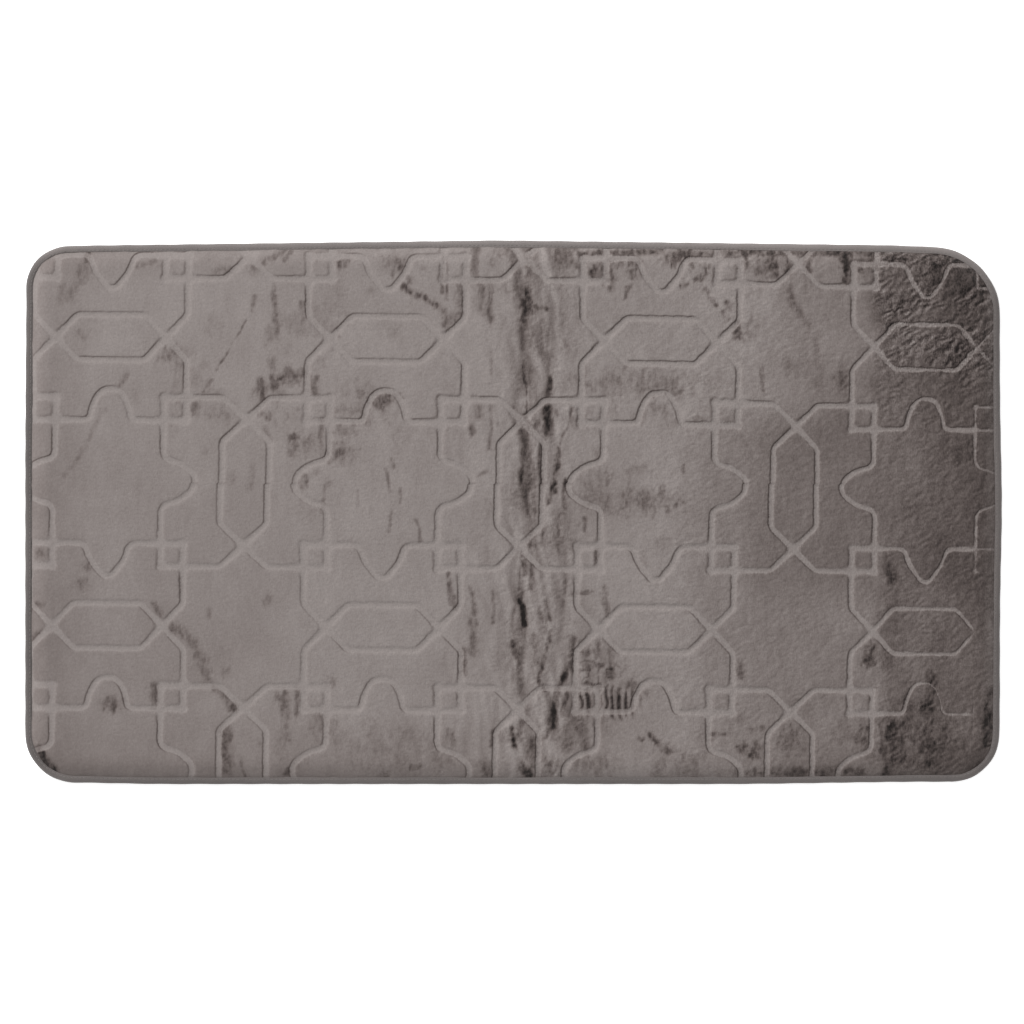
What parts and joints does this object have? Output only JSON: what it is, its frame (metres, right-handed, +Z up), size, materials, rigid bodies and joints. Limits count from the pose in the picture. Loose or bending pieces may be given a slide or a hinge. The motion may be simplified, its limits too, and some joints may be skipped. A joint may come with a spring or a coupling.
{
  "type": "bath mat",
  "caption": "Oblong padded bath mat with rounded corners, an embossed lattice on its plush top, a tape-bound edge and a dotted grip underside.",
  "frame": {"origin": "centre of the rectangle that the mat stands on, in the plane of the grip dots' undersides", "axes": "+X along the mat, +Y across it away from the user, +Z up through its thickness"},
  "size_m": [0.914, 0.508, 0.0156],
  "materials": {
    "flannel_pile": "plush short pile with a soft sheen",
    "memory_foam": "open-cell soft foam",
    "nonwoven_backing": "matt felted cloth",
    "latex_grip": "satin moulded latex",
    "binding_tape": "close plain weave",
    "sewing_thread": "spun thread",
    "label_satin": "woven satin, blank"
  },
  "bodies": {
    "root": {"pile_cover": "flannel_pile", "foam_core": "memory_foam", "backing_cloth": "nonwoven_backing", "grip_coating": "latex_grip", "edge_binding": "binding_tape", "needle_thread": "sewing_thread", "bobbin_thread": "sewing_thread", "care_label": "label_satin", "label_stitching": "sewing_thread"}
  },
  "joints": []
}
